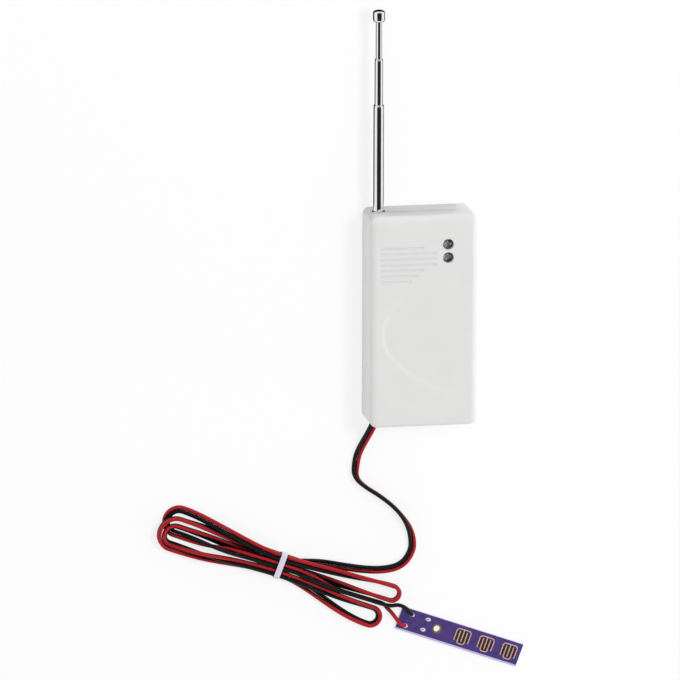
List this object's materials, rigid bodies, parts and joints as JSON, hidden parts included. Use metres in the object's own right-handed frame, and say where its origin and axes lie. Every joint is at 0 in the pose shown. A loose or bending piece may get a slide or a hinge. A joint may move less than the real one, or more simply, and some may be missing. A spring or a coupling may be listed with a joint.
{
  "type": "water leak sensor",
  "caption": "White radio transmitter box with a telescopic antenna, grille and status lamps, wired by a tied red and black lead to a flat water probe with comb electrodes.",
  "frame": {"origin": "centre of the housing's back face", "axes": "+X to the right as the front is seen, +Y along the box toward the antenna, +Z out of the front"},
  "size_m": [0.1798, 0.33, 0.025],
  "materials": {
    "housing_white": "fine satin, white",
    "screw_steel": "bright zinc",
    "battery_jacket": "satin dark grey",
    "black_plastic": "satin black",
    "inner_wire": "soft gloss",
    "board_green": "green mask on laminate",
    "lamp_lens": "clear resin lens",
    "can_steel": "tinned can",
    "resistor_body": "tan coating",
    "capacitor_disc": "brown coating",
    "capacitor_sleeve": "blue sleeve",
    "jumper_blue": "blue",
    "antenna_chrome": "bright plating",
    "sleeve_brass": "bare",
    "red_wire": "soft red jacket",
    "black_wire": "soft black jacket",
    "tie_plastic": "pale lavender band",
    "probe_mask": "purple mask on laminate",
    "probe_gold": "thin pinkish gold plating",
    "solder": "bright solder"
  },
  "bodies": {
    "housing": {"front_shell": "housing_white", "rear_shell": "housing_white", "cord_clip": "housing_white", "shell_screws": "screw_steel", "board_screws": "screw_steel", "antenna_screw": "screw_steel", "antenna_clamp": "screw_steel", "battery_terminals": "screw_steel", "battery": "battery_jacket", "battery_snap": "black_plastic", "encoder_chip": "black_plastic", "rf_transistor": "black_plastic", "jumper_header": "black_plastic", "snap_leads": "inner_wire", "inner_leads": "inner_wire", "main_board": "board_green", "upper_led": "lamp_lens", "lower_led": "lamp_lens", "saw_resonator": "can_steel", "resistors": "resistor_body", "disc_capacitors": "capacitor_disc", "reservoir_capacitor": "capacitor_sleeve", "jumper_caps": "jumper_blue", "antenna_outer_tube": "antenna_chrome", "red_lead_run": "red_wire", "red_lead_hank": "red_wire", "red_lead_tail": "red_wire", "black_lead_run": "black_wire", "black_lead_hank": "black_wire", "black_lead_tail": "black_wire", "hank_tie": "tie_plastic", "probe_board": "probe_mask", "probe_electrodes": "probe_gold", "probe_eyelet": "probe_gold", "probe_chips": "solder", "probe_solder": "solder"},
    "battery_cover": {"battery_cover": "housing_white"},
    "antenna_lower": {"antenna_lower_tube": "antenna_chrome", "antenna_lower_sleeve": "sleeve_brass"},
    "antenna_middle": {"antenna_middle_tube": "antenna_chrome", "antenna_middle_sleeve": "sleeve_brass"},
    "antenna_tip": {"antenna_tip_rod": "antenna_chrome", "antenna_tip_sleeve": "sleeve_brass", "antenna_knob": "antenna_chrome"}
  },
  "joints": [
    {"name": "cover_slide", "type": "slide", "parent": "housing", "child": "battery_cover", "axis": [0, -1, 0], "range_m": [0, 0.045]},
    {"name": "lower_slide", "type": "slide", "parent": "housing", "child": "antenna_lower", "axis": [0, 1, 0], "range_m": [-0.0514, 0]},
    {"name": "middle_slide", "type": "slide", "parent": "antenna_lower", "child": "antenna_middle", "axis": [0, 1, 0], "range_m": [-0.0222, 0.025]},
    {"name": "tip_slide", "type": "slide", "parent": "antenna_middle", "child": "antenna_tip", "axis": [0, 1, 0], "range_m": [-0.0177, 0.025]}
  ]
}
